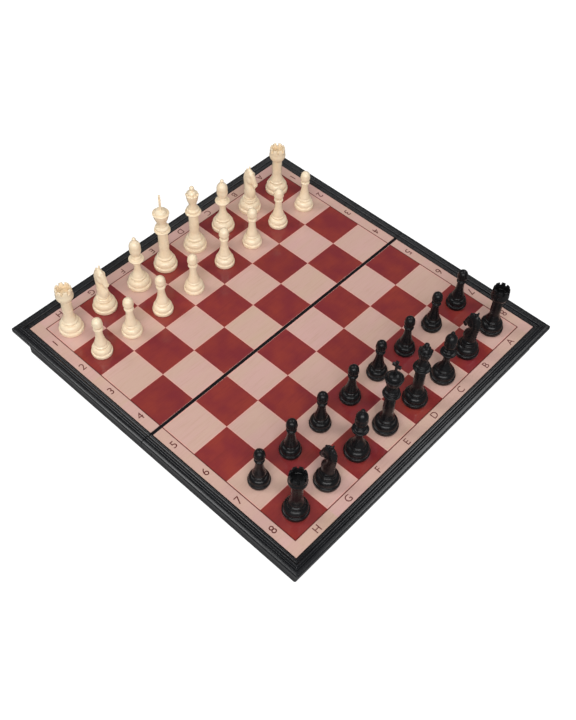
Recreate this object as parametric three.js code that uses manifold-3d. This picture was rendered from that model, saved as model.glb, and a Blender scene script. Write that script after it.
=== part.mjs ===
// Folding magnetic chess set: two shallow trays hinged along the middle of the board, a ridged frame
// round the outside, a printed playing sheet on a steel plate on each half, and thirty-two pieces.
// Millimetres, +Z up. X runs along the ranks (file a to file h) and Y along the files (rank 1 to rank 8).
// The origin is on the table, under the middle of the open board. White sits at -Y.

import * as THREE from 'three';
import { mergeVertices } from 'three/addons/utils/BufferGeometryUtils.js';
import Module from 'manifold-3d';

const wasm = await Module();
wasm.setup();

// ---------------------------------------------------------------- driving dimensions
const SQUARE = 30;            // side of one square
const FOLD_BAND = 2.85;       // strip between rank 4 and rank 5, across the fold
const MARGIN = 8.9;           // from the outer squares to the frame
const FRAME_WIDTH = 9.1;      // plan width of the ridged frame
const FLANGE = 6.5;           // how far the frame overhangs the tray wall
const TRAY_DEPTH = 26;        // playing surface down to the tray rim
const FOOT_HEIGHT = 2.2;      // rubber foot, table to tray rim
const WALL = 2.2;             // tray wall thickness
const TRAY_CORNER = 1.2;      // upright corners of the trays
const DECK = 2;               // tray deck thickness
const SHEET = 0.4;            // printed sheet thickness
const PLATE = 0.5;            // steel plate thickness
const FIT = 0.05;             // gap between flat pieces that lie on each other
const CLEARANCE = 0.3;        // gap round pieces that turn or drop in
const FOLD_CLEARANCE = 0.2;   // from the fold plane to each tray's fold wall
const LIP = 0.65;             // moulded lip that borders the sheet along the fold

// hinge, foot and closing magnet
const KNUCKLE_R = 1.9;
const PIN_R = 0.8;
const PIN_HOLE_R = PIN_R + CLEARANCE;
const KNUCKLE_LENGTH = 14;    // the middle knuckle; each outer one is half as long
const HINGE_X = 90;
const FOOT_R = 4;
const POST_R = 4.8;
const FRONT_POST_X = 121;     // the two trays' posts stand at different places along X,
const REAR_POST_X = 108;      // so that they pass each other when the board is closed
const MAGNET_R = 3;
const MAGNET_HEIGHT = 3;
const MAGNET_X = 60;

// ---------------------------------------------------------------- derived places
const GRID_HALF = 4 * SQUARE;
const RIM_Z = FOOT_HEIGHT;
const SURFACE_Z = RIM_Z + TRAY_DEPTH;
const SHEET_Z = SURFACE_Z - SHEET;
const PLATE_Z = SHEET_Z - FIT - PLATE;
const DECK_TOP = PLATE_Z - FIT;
const DECK_UNDER = DECK_TOP - DECK;
const FRAME_IN_X = GRID_HALF + MARGIN;
const FRAME_IN_Y = GRID_HALF + FOLD_BAND / 2 + MARGIN;
const TRAY_X = FRAME_IN_X + FRAME_WIDTH - FLANGE;
const TRAY_Y = FRAME_IN_Y + FRAME_WIDTH - FLANGE;
const HINGE_Z = RIM_Z - CLEARANCE / 2;

// ---------------------------------------------------------------- materials
const finish = (color, roughness, metalness = 0) => () => new THREE.MeshStandardMaterial({
  color, roughness, metalness,
});
const blackPlastic = finish(0x1b1c1e, 0.42);
const printedPaper = finish(0x8a3434, 0.15);
const steel = finish(0x9a9da0, 0.35, 1);
const rubber = finish(0x111111, 0.9);
const magnetMetal = finish(0xb8b8bc, 0.25, 1);
const ivoryPlastic = finish(0xecdcbe, 0.3);
const ebonyPlastic = finish(0x141517, 0.25);

// ---------------------------------------------------------------- solids
// A closed three.js geometry as a solid that can be joined and cut.
function solid(geometry) {
  const bare = geometry.clone();
  bare.deleteAttribute('normal');
  bare.deleteAttribute('uv');
  const merged = mergeVertices(bare, 1e-4);
  const corners = [];
  for (let i = 0; i < merged.index.count; i += 3) {
    const [a, b, c] = [0, 1, 2].map((k) => merged.index.getX(i + k));
    if (a !== b && b !== c && c !== a) corners.push(a, b, c);
  }
  return new wasm.Manifold(new wasm.Mesh({
    numProp: 3,
    vertProperties: new Float32Array(merged.attributes.position.array),
    triVerts: new Uint32Array(corners),
  }));
}

function geometryOf(body) {
  const mesh = body.getMesh();
  const geometry = new THREE.BufferGeometry();
  geometry.setAttribute('position', new THREE.BufferAttribute(mesh.vertProperties, 3));
  geometry.setIndex(new THREE.BufferAttribute(mesh.triVerts, 1));
  geometry.computeVertexNormals();
  return geometry;
}

const join = (...bodies) => bodies.reduce((whole, body) => whole.add(body));
const cut = (body, ...tools) => tools.reduce((whole, tool) => whole.subtract(tool), body);

// An upright box from its low and high corners.
function block(low, high) {
  const size = high.map((value, axis) => value - low[axis]);
  const middle = high.map((value, axis) => (value + low[axis]) / 2);
  return solid(new THREE.BoxGeometry(...size).translate(...middle));
}

// A turned shape: [radius, height] pairs from the bottom up, closed on the axis.
function turned(profile, segments) {
  const ends = [profile[0][1], profile.at(-1)[1]];
  const outline = [[0, ends[0]], ...profile.filter(([r]) => r > 0), [0, ends[1]]];
  const points = outline.map(([r, z]) => new THREE.Vector2(r, z));
  return solid(new THREE.LatheGeometry(points, segments).rotateX(Math.PI / 2));
}

function upright(radius, zLow, zHigh, [x, y], segments = 16) {
  const height = zHigh - zLow;
  const shape = new THREE.CylinderGeometry(radius, radius, height, segments).rotateX(Math.PI / 2);
  return solid(shape.translate(x, y, (zLow + zHigh) / 2));
}

function alongX(radius, xLow, xHigh, z, segments = 16) {
  const shape = new THREE.CylinderGeometry(radius, radius, xHigh - xLow, segments).rotateZ(Math.PI / 2);
  return solid(shape.translate((xLow + xHigh) / 2, 0, z));
}

// An upright slab with its two outer corners rounded; it runs from the fold out to -Y.
function roundedSlab(halfX, yFold, yOuter, zLow, zHigh, corner, steps = 4) {
  const outline = new THREE.Shape();
  outline.moveTo(halfX, yFold);
  outline.lineTo(-halfX, yFold);
  outline.lineTo(-halfX, yOuter + corner);
  outline.absarc(-halfX + corner, yOuter + corner, corner, Math.PI, 1.5 * Math.PI, false);
  outline.lineTo(halfX - corner, yOuter);
  outline.absarc(halfX - corner, yOuter + corner, corner, 1.5 * Math.PI, 2 * Math.PI, false);
  outline.closePath();
  const options = { depth: zHigh - zLow, bevelEnabled: false, curveSegments: steps };
  return solid(new THREE.ExtrudeGeometry(outline, options).translate(0, 0, zLow));
}

// ---------------------------------------------------------------- one half of the board
// Each half is made as the front one, on the -Y side, and the rear one is the same half turned round.
const turnRound = (geometry) => geometry.rotateZ(Math.PI);

function hingeSpans(middleKnuckle) {
  const half = KNUCKLE_LENGTH / 2;
  const far = KNUCKLE_LENGTH;
  const gap = CLEARANCE / 2;
  const middle = [[-half + gap, half - gap]];
  const outer = [[-far, -half - gap], [half + gap, far]];
  return middleKnuckle ? { own: middle, other: outer } : { own: outer, other: middle };
}

function tray(postX, middleKnuckle) {
  const yFold = -FOLD_CLEARANCE;
  let body = roundedSlab(TRAY_X, yFold, -TRAY_Y, RIM_Z, DECK_TOP, TRAY_CORNER);
  const inside = roundedSlab(
    TRAY_X - WALL, yFold - WALL, -TRAY_Y + WALL, RIM_Z - 5, DECK_UNDER, TRAY_CORNER / 2,
  );
  body = cut(body, inside);

  // the lip along the fold, up to the level of the sheet
  const lipEnd = FRAME_IN_X - CLEARANCE;
  const lip = block([-lipEnd, yFold - LIP, DECK_TOP - 1], [lipEnd, yFold, SURFACE_Z - FIT]);
  body = join(body, lip);

  // stiffening ribs under the deck
  const ribTop = DECK_UNDER + 0.5;
  const ribUnder = DECK_UNDER - 3;
  const ribEnd = -TRAY_Y + WALL / 2;
  for (const x of [-66, 0, 66]) {
    body = join(body, block([x - 0.75, ribEnd, ribUnder], [x + 0.75, yFold - WALL / 2, ribTop]));
  }
  const ribY = -TRAY_Y / 2;
  const ribX = TRAY_X - WALL / 2;
  body = join(body, block([-ribX, ribY - 0.75, ribUnder], [ribX, ribY + 0.75, ribTop]));

  // posts that carry the feet
  for (const place of footPlaces(postX)) {
    body = join(body, upright(POST_R, RIM_Z, ribTop, place));
  }

  // bosses that hold the closing magnets, against the outer wall
  for (const place of magnetPlaces()) {
    const boss = upright(MAGNET_R + 2, RIM_Z, ribTop, place);
    const pocket = upright(MAGNET_R + CLEARANCE, RIM_Z - 1, RIM_Z + MAGNET_HEIGHT + 2 * CLEARANCE, place);
    body = cut(join(body, boss), pocket);
  }

  // hinge knuckles on the fold wall, with room for the other tray's
  for (const side of [-1, 1]) {
    const middle = side * HINGE_X;
    const reach = KNUCKLE_LENGTH + 1;
    body = join(body, block([middle - reach, -6, RIM_Z], [middle + reach, yFold, RIM_Z + 7]));
    const spans = hingeSpans(middleKnuckle);
    for (const [from, to] of spans.other) {
      const slack = CLEARANCE / 2;
      const room = alongX(KNUCKLE_R + 0.5, middle + from - slack, middle + to + slack, HINGE_Z, 20);
      body = cut(body, room);
    }
    for (const [from, to] of spans.own) {
      body = join(body, alongX(KNUCKLE_R, middle + from, middle + to, HINGE_Z));
    }
    body = cut(body, alongX(PIN_HOLE_R, middle - reach - 1, middle + reach + 1, HINGE_Z));
  }
  return geometryOf(body);
}

function footPlaces(postX) {
  const near = -13;
  const far = -TRAY_Y + 12;
  return [[-postX, near], [postX, near], [-postX, far], [postX, far]];
}

function magnetPlaces() {
  const y = -TRAY_Y + WALL + MAGNET_R + 1;
  return [[-MAGNET_X, y], [MAGNET_X, y]];
}

// The frame's section: distance outwards from its inner edge, height above the playing surface.
// Anticlockwise from the inner edge: the underside, the outer face, a sloping outer band, a groove,
// the main ridge, a groove and a small bead.
const FRAME_SECTION = [
  [0, 0.35], [0, -0.85], [2.75, -0.85], [2.75, -2.7], [9.1, -2.7],
  [9.1, -0.1], [8.4, 0.7], [6.3, 1.05],
  [5.8, 0.6], [5.2, 0.45],
  [4.7, 1.3], [3.8, 1.8], [2.9, 1.2],
  [2.5, 0.25], [1.9, 0.15],
  [1.35, 0.75], [0.55, 0.95],
];

// A section swept along three straight runs with mitred corners: side, outer edge, side.
function mitredFrame(section, halfX, yOuter, yFold) {
  const stations = [
    (u) => [halfX + u, yFold],
    (u) => [halfX + u, -yOuter - u],
    (u) => [-halfX - u, -yOuter - u],
    (u) => [-halfX - u, yFold],
  ];
  const count = section.length;
  const positions = stations.flatMap((place) => section.flatMap(([u, z]) => [...place(u), SURFACE_Z + z]));
  const index = [];
  for (let s = 0; s < stations.length - 1; s += 1) {
    for (let k = 0; k < count; k += 1) {
      const a = s * count + k;
      const b = s * count + ((k + 1) % count);
      index.push(a, b, a + count, b, b + count, a + count);
    }
  }
  const outline = section.map(([u, z]) => new THREE.Vector2(u, z));
  const last = (stations.length - 1) * count;
  for (const [a, b, c] of THREE.ShapeUtils.triangulateShape(outline, [])) {
    index.push(a, c, b);
    index.push(last + a, last + b, last + c);
  }
  const geometry = new THREE.BufferGeometry();
  geometry.setAttribute('position', new THREE.Float32BufferAttribute(positions, 3));
  geometry.setIndex(index);
  geometry.computeVertexNormals();
  return geometry;
}

const frameBar = () => mitredFrame(FRAME_SECTION, FRAME_IN_X, FRAME_IN_Y, -FOLD_CLEARANCE - 0.1);

function layer(inset, zLow, thickness) {
  const yFold = -FOLD_CLEARANCE - LIP - FIT;
  const yOuter = -FRAME_IN_Y + inset;
  const halfX = FRAME_IN_X - inset;
  const shape = new THREE.BoxGeometry(2 * halfX, yFold - yOuter, thickness);
  return shape.translate(0, (yFold + yOuter) / 2, zLow + thickness / 2);
}

const printedSheet = () => layer(0.3, SHEET_Z, SHEET);
const steelPlate = () => layer(0.5, PLATE_Z, PLATE);

function disc(radius, height, [x, y], z, segments = 16) {
  const shape = new THREE.CylinderGeometry(radius, radius, height, segments).rotateX(Math.PI / 2);
  return shape.translate(x, y, z + height / 2);
}

function hingePin() {
  const length = 2 * KNUCKLE_LENGTH;
  return new THREE.CylinderGeometry(PIN_R, PIN_R, length, 12).rotateZ(Math.PI / 2);
}

// ---------------------------------------------------------------- the pieces
// Every piece stands on the same turned foot: a base ring, a bowl and a small upper ring.
const OFFICER_R = 9;
const PAWN_R = 7.6;
const TURN_STEPS = 10;        // sides of every turned piece
const footRings = (r) => [
  [r, 0], [r, 2.2], [0.89 * r, 3.6], [0.9 * r, 5.2], [0.68 * r, 8.4],
];

function pawn() {
  return turned([
    ...footRings(PAWN_R), [5.3, 9], [4.6, 10.4], [2.7, 23.4], [3.5, 25], [2.5, 26.9],
    [3.8, 31], [3, 33.9], [0, 35.5],
  ], TURN_STEPS);
}

function queenBody() {
  return turned([
    ...footRings(OFFICER_R), [6, 9.9], [5, 11.8], [3.9, 19], [3.6, 31.5], [6.1, 35.9],
    [4.7, 39], [3.1, 44.5], [4.9, 52.8], [1.3, 56.8], [1.9, 58.8], [0, 60.5],
  ], TURN_STEPS);
}

function kingBody() {
  const [crossFoot, crossTop, crossArm] = [56, 70, 66];
  const [armHalf, barHalf] = [3.2, 0.85];
  const body = turned([
    ...footRings(OFFICER_R), [6.1, 10.4], [5.1, 12.3], [4, 20.5], [3.7, 33.5], [6.1, 37.3],
    [4.9, 40.2], [3.4, 44], [6.2, 53.4], [4.8, 55.4], [0, 57.4],
  ], TURN_STEPS);
  return join(
    body,
    block([-barHalf, -barHalf, crossFoot], [barHalf, barHalf, crossTop]),
    block([-armHalf, -barHalf, crossArm - barHalf], [armHalf, barHalf, crossArm + barHalf]),
  );
}

function bishopBody() {
  return turned([
    ...footRings(OFFICER_R), [6, 9.5], [5, 11.2], [2.7, 22], [5.8, 27], [2.8, 30.4],
    [4.4, 37], [3.2, 42], [1.1, 45.4], [0, 48],
  ], TURN_STEPS);
}

function rookBody() {
  const [top, floor, crenelDepth] = [43, 38, 2.7];
  const body = turned([
    ...footRings(OFFICER_R), [6, 9.9], [5, 11.8], [3.8, 20.5], [3.8, 30.3], [6.1, 37.4], [5.7, top],
  ], TURN_STEPS);
  const bowl = turned([[4.3, floor], [4.3, top + 1]], TURN_STEPS);
  const slots = [0, 1, 2, 3].map((turn) => {
    const slot = new THREE.BoxGeometry(16, 1.5, crenelDepth + 1);
    return solid(slot.translate(0, 0, top - crenelDepth / 2 + 0.5).rotateZ((turn * Math.PI) / 4));
  });
  return cut(body, bowl, ...slots);
}

// The horse's head looks towards +Y: a side outline, extruded to the width of the neck.
function knightBody() {
  const body = turned([...footRings(OFFICER_R), [6, 10], [5.2, 12.2], [4.2, 13]], TURN_STEPS);
  const outline = new THREE.Shape();
  outline.moveTo(-4.4, 12.4);
  outline.lineTo(4.4, 12.4);
  outline.quadraticCurveTo(5, 19.5, 1.6, 24.2);
  outline.lineTo(4.6, 24.4);
  outline.lineTo(7, 25.6);
  outline.lineTo(6.8, 29);
  outline.quadraticCurveTo(4.6, 37.4, 1, 40);
  outline.lineTo(-0.6, 42.5);
  outline.lineTo(-1.8, 40.2);
  outline.quadraticCurveTo(-6.8, 34, -4.9, 22);
  outline.closePath();
  const width = 6.6;
  const head = new THREE.ExtrudeGeometry(outline, { depth: width, bevelEnabled: false, curveSegments: 4 });
  // the outline's x becomes +Y and its y becomes +Z
  head.translate(0, 0, -width / 2).rotateX(Math.PI / 2).rotateZ(Math.PI / 2);
  return join(body, solid(head));
}

const MAKERS = {
  pawn, rook: rookBody, knight: knightBody, bishop: bishopBody, queen: queenBody, king: kingBody,
};

const PIECE_GAP = 0.1;        // each piece stands this far clear of the sheet
const BACK_RANK = ['rook', 'knight', 'bishop', 'queen', 'king', 'bishop', 'knight', 'rook'];
const FILES = 'abcdefgh';

// How far each piece stands from the middle of its square, [x, y], file a to file h:
// the set is laid out by hand, so no piece is exactly centred.
const STANDING = {
  white_back: [[0.5, 0], [2, 0], [2, 0], [2.5, 0], [2.5, -1], [-0.5, -0.5], [2, -1.5], [2.5, -2.5]],
  white_pawns: [[-0.5, -0.5], [-1, -1.5], [-1, -1], [-1, -1], [4, 2], [4.5, 1], [4, 0.5], [1, -0.5]],
  black_back: [[-0.5, 1.5], [-0.5, 1.5], [-0.5, 3], [-1, 1.5], [0.5, 1], [-0.5, 0.5], [0, 1], [-0.5, 1]],
  black_pawns: [[-2, -1], [-2, -1], [-0.5, -1], [0, -1.5], [-1, -1.5], [0, -1.5], [-0.5, -1.5], [0, -0.5]],
};

// Each king is set down with the arms of its cross turned by some angle from the X axis, in degrees.
const KING_TURN = { white: 52, black: 90 };

function squareCentre(file, rank) {
  const side = rank <= 4 ? -1 : 1;
  return [(file - 3.5) * SQUARE, (rank - 4.5) * SQUARE + (side * FOLD_BAND) / 2];
}

function pieceName(colour, kind, file) {
  const single = kind === 'king' || kind === 'queen';
  return single ? `${colour}_${kind}` : `${colour}_${kind}_${FILES[file]}`;
}

// ---------------------------------------------------------------- assembly
const set = new THREE.Group();

function add(parent, name, geometry, material) {
  const mesh = new THREE.Mesh(geometry, material());
  mesh.name = name;
  parent.add(mesh);
  return mesh;
}

function addHalf(name, postX, middleKnuckle, place) {
  const half = new THREE.Group();
  add(half, `${name}_tray`, place(tray(postX, middleKnuckle)), blackPlastic);
  add(half, `${name}_frame`, place(frameBar()), blackPlastic);
  add(half, `${name}_steel_plate`, place(steelPlate()), steel);
  add(half, `${name}_printed_sheet`, place(printedSheet()), printedPaper);
  footPlaces(postX).forEach((spot, i) => {
    add(half, `${name}_foot_${i + 1}`, place(disc(FOOT_R, FOOT_HEIGHT - FIT, spot, 0)), rubber);
  });
  magnetPlaces().forEach((spot, i) => {
    const magnet = disc(MAGNET_R, MAGNET_HEIGHT, spot, RIM_Z + CLEARANCE);
    add(half, `${name}_closing_magnet_${i + 1}`, place(magnet), magnetMetal);
  });
  set.add(half);
}

addHalf('front', FRONT_POST_X, true, (geometry) => geometry);
addHalf('rear', REAR_POST_X, false, turnRound);

for (const [side, label] of [[-1, 'a'], [1, 'h']]) {
  add(set, `hinge_pin_${label}`, hingePin(), steel).position.set(side * HINGE_X, 0, HINGE_Z);
}

function addRow(colour, rank, kinds, shifts, material, facing) {
  kinds.forEach((kind, file) => {
    const piece = add(set, pieceName(colour, kind, file), geometryOf(MAKERS[kind]()), material);
    const [x, y] = squareCentre(file, rank);
    piece.position.set(x + shifts[file][0], y + shifts[file][1], SURFACE_Z + PIECE_GAP);
    piece.rotation.z = kind === 'king' ? THREE.MathUtils.degToRad(KING_TURN[colour]) : facing;
  });
}

const PAWNS = Array(8).fill('pawn');
addRow('white', 1, BACK_RANK, STANDING.white_back, ivoryPlastic, 0);
addRow('white', 2, PAWNS, STANDING.white_pawns, ivoryPlastic, 0);
addRow('black', 7, PAWNS, STANDING.black_pawns, ebonyPlastic, Math.PI);
addRow('black', 8, BACK_RANK, STANDING.black_back, ebonyPlastic, Math.PI);

export default set;
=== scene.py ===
"""Looks of a folding magnetic chess set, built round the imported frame. Metres, +Z up.

The board lies open on the table with the origin under its middle. X runs from file a to file h
and Y from rank 1 to rank 8. Outlines and small sizes are written in millimetres and made metres by MM.
"""

import math

import bmesh
import bpy
from mathutils import Matrix, Quaternion, Vector


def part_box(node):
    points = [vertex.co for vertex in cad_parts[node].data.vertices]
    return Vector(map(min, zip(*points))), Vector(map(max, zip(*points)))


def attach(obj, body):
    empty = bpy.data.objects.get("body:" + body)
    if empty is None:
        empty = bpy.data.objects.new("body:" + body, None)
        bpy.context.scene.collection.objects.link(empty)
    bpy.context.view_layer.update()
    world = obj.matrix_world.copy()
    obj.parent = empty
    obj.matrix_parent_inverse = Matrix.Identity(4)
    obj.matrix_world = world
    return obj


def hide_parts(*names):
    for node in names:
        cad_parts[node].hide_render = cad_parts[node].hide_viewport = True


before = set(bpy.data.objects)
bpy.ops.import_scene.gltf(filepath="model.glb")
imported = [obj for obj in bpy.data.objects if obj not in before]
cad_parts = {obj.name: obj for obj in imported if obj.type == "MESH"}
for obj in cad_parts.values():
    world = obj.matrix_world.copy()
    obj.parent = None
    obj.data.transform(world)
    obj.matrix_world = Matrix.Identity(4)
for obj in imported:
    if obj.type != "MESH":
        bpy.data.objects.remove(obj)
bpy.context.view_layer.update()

# ---------------------------------------------------------------- driving sizes
MM = 0.001
TURN = 2 * math.pi
SQUARE = 30 * MM
FOLD_BAND = 2.85 * MM         # strip between rank 4 and rank 5
MARGIN = 8.9 * MM             # from the outer squares to the frame
BORDER_LINE = 0.7 * MM        # printed line round the squares
GRID_HALF = 4 * SQUARE
FRAME_IN_X = GRID_HALF + MARGIN
FRAME_IN_Y = GRID_HALF + FOLD_BAND / 2 + MARGIN
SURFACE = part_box("front_printed_sheet")[1].z
FRAME_FOLD = -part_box("front_frame")[1].y
HALVES = ("front", "rear")
FILES = "abcdefgh"
SIDES = 64                    # sides of a turned piece
MERGE = 0.001 * MM            # vertices closer than this are one
FLAT_WALL = 0.9999            # a tray face this square to an axis is a flat wall


# ---------------------------------------------------------------- outlines
class Outline:
    """A section drawn point by point, in millimetres: across, up."""

    def __init__(self, across, up):
        self.points = [(across, up)]

    def line(self, across, up):
        self.points.append((across, up))
        return self

    def arc(self, across, up, bulge, steps=6):
        """An arc to the next point. bulge is its height over its chord, positive to the right of the way."""
        start = Vector(self.points[-1])
        chord = Vector((across, up)) - start
        forward = chord.normalized()
        right = Vector((forward.y, -forward.x))
        rise = bulge * chord.length
        radius = (chord.length_squared / 4 + rise * rise) / (2 * rise)
        centre = start + chord / 2 + right * (rise - radius)
        half = 2 * math.atan(2 * bulge)
        for step in range(1, steps + 1):
            angle = half * (2 * step / steps - 1)
            point = centre + radius * (right * math.cos(angle) + forward * math.sin(angle))
            self.points.append((point.x, point.y))
        return self

    def ball(self, radius, steps=10):
        """A ball on the axis, from the last point round to the ball's top."""
        across, up = self.points[-1]
        top = up + math.sqrt(radius * radius - across * across) + radius
        chord = math.hypot(across, top - up)
        half = math.asin(chord / (2 * radius))
        return self.arc(0, top, radius * (1 - math.cos(half)) / chord, steps)

    def close(self):
        self.points.append(self.points[0])
        return self


# ---------------------------------------------------------------- node trees
class Graph:
    """A node tree, with short ways to add and join its nodes."""

    def __init__(self, tree):
        self.tree = tree

    def add(self, kind, inputs=None, **settings):
        node = self.tree.nodes.new(kind)
        for name, value in settings.items():
            setattr(node, name, value)
        for name, value in (inputs or {}).items():
            self.feed(node.inputs[name], value)
        return node

    def feed(self, socket, value):
        if isinstance(value, bpy.types.NodeSocket):
            self.tree.links.new(value, socket)
        else:
            socket.default_value = value

    def math(self, operation, *values):
        inputs = dict(enumerate(values))
        return self.add("ShaderNodeMath", inputs, operation=operation).outputs[0]

    def vector(self, operation, *values):
        inputs = dict(enumerate(values))
        return self.add("ShaderNodeVectorMath", inputs, operation=operation).outputs[0]

    def mix(self, share, first, second):
        node = self.add("ShaderNodeMix", {0: share, 6: first, 7: second}, data_type="RGBA")
        return node.outputs[2]

    def ramp(self, value, low, high, to_low=0.0, to_high=1.0):
        inputs = {0: value, 1: low, 2: high, 3: to_low, 4: to_high}
        return self.add("ShaderNodeMapRange", inputs).outputs[0]

    def noise(self, place, scale, detail=2.0, roughness=0.5):
        inputs = {"Vector": place, "Scale": scale, "Detail": detail, "Roughness": roughness}
        return self.add("ShaderNodeTexNoise", inputs).outputs["Fac"]


def group(name, kind, inputs, outputs):
    """A node group with named inputs and outputs: (name, socket type, default)."""
    tree = bpy.data.node_groups.new(name, kind)
    for label, socket, default in inputs:
        made = tree.interface.new_socket(label, in_out="INPUT", socket_type=socket)
        if default is not None:
            made.default_value = default
    for label, socket in outputs:
        tree.interface.new_socket(label, in_out="OUTPUT", socket_type=socket)
    graph = Graph(tree)
    return graph, graph.add("NodeGroupInput").outputs, graph.add("NodeGroupOutput").inputs


def sweep_tree():
    """A section swept along a path. Every path point holds the way outwards from it."""
    inputs = [
        ("Section", "NodeSocketGeometry", None),
        ("Path", "NodeSocketObject", None),
        ("Material", "NodeSocketMaterial", None),
    ]
    outputs = [("Body", "NodeSocketGeometry")]
    graph, given, result = group("swept_section", "GeometryNodeTree", inputs, outputs)
    path = graph.add("GeometryNodeObjectInfo", {"Object": given["Path"]}).outputs["Geometry"]
    across_count = graph.add("GeometryNodeAttributeDomainSize", {0: given["Section"]}).outputs[0]
    along_count = graph.add("GeometryNodeAttributeDomainSize", {0: path}).outputs[0]
    sizes = {"Vertices X": across_count, "Vertices Y": along_count}
    grid = graph.add("GeometryNodeMeshGrid", sizes).outputs["Mesh"]
    number = graph.add("GeometryNodeInputIndex").outputs[0]
    half_way = graph.math("ADD", number, 0.5)
    across_index = graph.math("FLOOR", graph.math("DIVIDE", half_way, along_count))
    along_index = graph.math("SUBTRACT", number, graph.math("MULTIPLY", across_index, along_count))

    def sample(geometry, value, index):
        inputs = {"Geometry": geometry, "Value": value, "Index": index}
        return graph.add("GeometryNodeSampleIndex", inputs, data_type="FLOAT_VECTOR").outputs[0]

    position = graph.add("GeometryNodeInputPosition").outputs[0]
    outward = graph.add("GeometryNodeInputNamedAttribute", {"Name": "outward"}, data_type="FLOAT_VECTOR")
    section = graph.add("ShaderNodeSeparateXYZ", {0: sample(given["Section"], position, across_index)})
    reach = graph.add("ShaderNodeVectorMath", operation="SCALE")
    graph.feed(reach.inputs[0], sample(path, outward.outputs[0], along_index))
    graph.feed(reach.inputs["Scale"], section.outputs[0])
    rise = graph.add("ShaderNodeCombineXYZ", {2: section.outputs[1]}).outputs[0]
    beside = graph.vector("ADD", sample(path, position, along_index), reach.outputs[0])
    place = graph.vector("ADD", beside, rise)
    swept = graph.add("GeometryNodeSetPosition", {"Geometry": grid, "Position": place}).outputs[0]
    merged = graph.add("GeometryNodeMergeByDistance", {"Geometry": swept, "Distance": MERGE}).outputs[0]
    solid = graph.add("GeometryNodeRealizeInstances", {0: merged}).outputs[0]
    painted = graph.add("GeometryNodeSetMaterial", {"Geometry": solid, "Material": given["Material"]})
    graph.feed(result[0], painted.outputs[0])
    return graph.tree


def setting_out_tree():
    """One part set down at every point of a mesh, each copy turned a little further than the last."""
    inputs = [
        ("Places", "NodeSocketGeometry", None),
        ("Part", "NodeSocketObject", None),
        ("Turn Step", "NodeSocketFloat", 0.0),
        ("Material", "NodeSocketMaterial", None),
    ]
    outputs = [("Parts", "NodeSocketGeometry")]
    graph, given, result = group("set_out_parts", "GeometryNodeTree", inputs, outputs)
    points = graph.add("GeometryNodeMeshToPoints", {"Mesh": given["Places"]}).outputs[0]
    part = graph.add("GeometryNodeObjectInfo", {"Object": given["Part"]}).outputs["Geometry"]
    number = graph.add("GeometryNodeInputIndex").outputs[0]
    turn = graph.add("ShaderNodeCombineXYZ", {2: graph.math("MULTIPLY", number, given["Turn Step"])})
    inputs = {"Points": points, "Instance": part, "Rotation": turn.outputs[0]}
    placed = graph.add("GeometryNodeInstanceOnPoints", inputs).outputs[0]
    solid = graph.add("GeometryNodeRealizeInstances", {0: placed}).outputs[0]
    painted = graph.add("GeometryNodeSetMaterial", {"Geometry": solid, "Material": given["Material"]})
    graph.feed(result[0], painted.outputs[0])
    return graph.tree


SWEPT = sweep_tree()
SET_OUT = setting_out_tree()


# ---------------------------------------------------------------- meshes
def line_object(name, points, outward=None):
    """A loose line of points as an object, with the way outwards from each point if it is a path."""
    mesh = bpy.data.meshes.new(name)
    edges = [(number, number + 1) for number in range(len(points) - 1)]
    mesh.from_pydata([Vector(point).to_3d() for point in points], edges, [])
    if outward:
        attribute = mesh.attributes.new("outward", "FLOAT_VECTOR", "POINT")
        attribute.data.foreach_set("vector", [value for way in outward for value in (*way, 0.0)])
    thing = bpy.data.objects.new(name, mesh)
    bpy.context.scene.collection.objects.link(thing)
    return thing


def remove(thing):
    mesh = thing.data
    bpy.data.objects.remove(thing)
    bpy.data.meshes.remove(mesh)


def grown(thing, tree, **inputs):
    """The plain mesh that a Geometry Nodes tree makes from an object, which is then removed."""
    modifier = thing.modifiers.new("nodes", "NODES")
    modifier.node_group = tree
    identifiers = {item.name: item.identifier for item in tree.interface.items_tree if item.in_out == "INPUT"}
    for name, value in inputs.items():
        modifier[identifiers[name.replace("_", " ")]] = value
    bpy.context.view_layer.update()
    evaluated = thing.evaluated_get(bpy.context.evaluated_depsgraph_get())
    mesh = bpy.data.meshes.new_from_object(evaluated)
    thing.modifiers.remove(modifier)
    remove(thing)
    return mesh


def finished(mesh, sharp=38):
    """Doubles merged, open ends closed, faces turned outwards, smooth but for edges over `sharp` degrees."""
    body = bmesh.new()
    body.from_mesh(mesh)
    bmesh.ops.remove_doubles(body, verts=body.verts, dist=MERGE)
    bmesh.ops.dissolve_degenerate(body, edges=body.edges, dist=MERGE)
    bmesh.ops.holes_fill(body, edges=[edge for edge in body.edges if edge.is_boundary], sides=0)
    bmesh.ops.recalc_face_normals(body, faces=body.faces)
    body.to_mesh(mesh)
    body.free()
    mesh.shade_smooth()
    mesh.set_sharp_from_angle(angle=math.radians(sharp))
    return mesh


def swept(outline, places, outward):
    section = line_object("section", [(across * MM, up * MM) for across, up in outline.points])
    path = line_object("path", places, outward)
    mesh = grown(section, SWEPT, Path=path)
    remove(path)
    return mesh


def turned(outline, angles=None, shape=None):
    """A solid of revolution about Z. shape(radius, height, angle) may move its points, in millimetres."""
    angles = angles or [TURN * step / SIDES for step in range(SIDES)]
    ways = [(math.cos(angle), math.sin(angle)) for angle in [*angles, angles[0]]]
    mesh = swept(outline, [(0, 0, 0)] * len(ways), ways)
    if shape:
        for vertex in mesh.vertices:
            x, y, z = vertex.co / MM
            angle = math.atan2(y, x)
            radius, height = shape(math.hypot(x, y), z, angle)
            vertex.co = Vector((radius * math.cos(angle), radius * math.sin(angle), height)) * MM
    return finished(mesh)


def joined(*meshes):
    """Several meshes as one."""
    body = bmesh.new()
    for mesh in meshes:
        body.from_mesh(mesh)
    whole = bpy.data.meshes.new("joined")
    body.to_mesh(whole)
    body.free()
    return whole


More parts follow.
